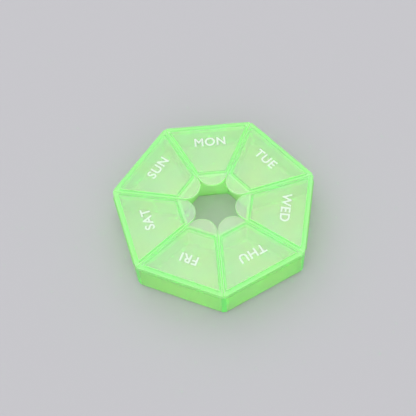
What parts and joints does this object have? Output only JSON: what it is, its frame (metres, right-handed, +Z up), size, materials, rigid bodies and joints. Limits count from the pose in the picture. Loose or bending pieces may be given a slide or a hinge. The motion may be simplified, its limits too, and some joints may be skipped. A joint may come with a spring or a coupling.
{
  "type": "weekly pill organizer",
  "caption": "Flat seven-sided pill box in translucent green plastic: wedge compartments round a central hole, each under a flip lid with a thumb tab and a living hinge.",
  "frame": {"origin": "centre of the hole through the tray, on the surface that the tray rests on", "axes": "+Z up, +Y out through the Monday side, which is at the back in the picture; days run clockwise from above"},
  "size_m": [0.0916, 0.0898, 0.0186],
  "materials": {
    "tray_plastic": "translucent green polypropylene, satin outside",
    "lid_plastic": "translucent green polypropylene, fine satin grain on top",
    "hinge_plastic": "thin flexed polypropylene film, paler where it bends",
    "day_print": "white pad-printed ink"
  },
  "bodies": {
    "tray": {"base_tray": "tray_plastic", "hinge_monday": "hinge_plastic", "hinge_tuesday": "hinge_plastic", "hinge_wednesday": "hinge_plastic", "hinge_thursday": "hinge_plastic", "hinge_friday": "hinge_plastic", "hinge_saturday": "hinge_plastic", "hinge_sunday": "hinge_plastic"},
    "lid_monday": {"lid_monday": "lid_plastic"},
    "lid_tuesday": {"lid_tuesday": "lid_plastic"},
    "lid_wednesday": {"lid_wednesday": "lid_plastic"},
    "lid_thursday": {"lid_thursday": "lid_plastic"},
    "lid_friday": {"lid_friday": "lid_plastic"},
    "lid_saturday": {"lid_saturday": "lid_plastic"},
    "lid_sunday": {"lid_sunday": "lid_plastic"}
  },
  "joints": [
    {"name": "monday_lid_swing", "type": "hinge", "parent": "tray", "child": "lid_monday", "pos_m": [0, 0.0426, 0.01655], "axis": [-1, 0, 0], "range_deg": [0, 175], "deforming": ["hinge_monday"]},
    {"name": "tuesday_lid_swing", "type": "hinge", "parent": "tray", "child": "lid_tuesday", "pos_m": [0.03331, 0.02656, 0.01655], "axis": [-0.6235, 0.7818, 0], "range_deg": [0, 175], "deforming": ["hinge_tuesday"]},
    {"name": "wednesday_lid_swing", "type": "hinge", "parent": "tray", "child": "lid_wednesday", "pos_m": [0.04153, -0.00948, 0.01655], "axis": [0.2225, 0.9749, 0], "range_deg": [0, 175], "deforming": ["hinge_wednesday"]},
    {"name": "thursday_lid_swing", "type": "hinge", "parent": "tray", "child": "lid_thursday", "pos_m": [0.01848, -0.03838, 0.01655], "axis": [0.901, 0.4339, 0], "range_deg": [0, 175], "deforming": ["hinge_thursday"]},
    {"name": "friday_lid_swing", "type": "hinge", "parent": "tray", "child": "lid_friday", "pos_m": [-0.01848, -0.03838, 0.01655], "axis": [0.901, -0.4339, 0], "range_deg": [0, 175], "deforming": ["hinge_friday"]},
    {"name": "saturday_lid_swing", "type": "hinge", "parent": "tray", "child": "lid_saturday", "pos_m": [-0.04153, -0.00948, 0.01655], "axis": [0.2225, -0.9749, 0], "range_deg": [0, 175], "deforming": ["hinge_saturday"]},
    {"name": "sunday_lid_swing", "type": "hinge", "parent": "tray", "child": "lid_sunday", "pos_m": [-0.03331, 0.02656, 0.01655], "axis": [-0.6235, -0.7818, 0], "range_deg": [0, 175], "deforming": ["hinge_sunday"]}
  ]
}
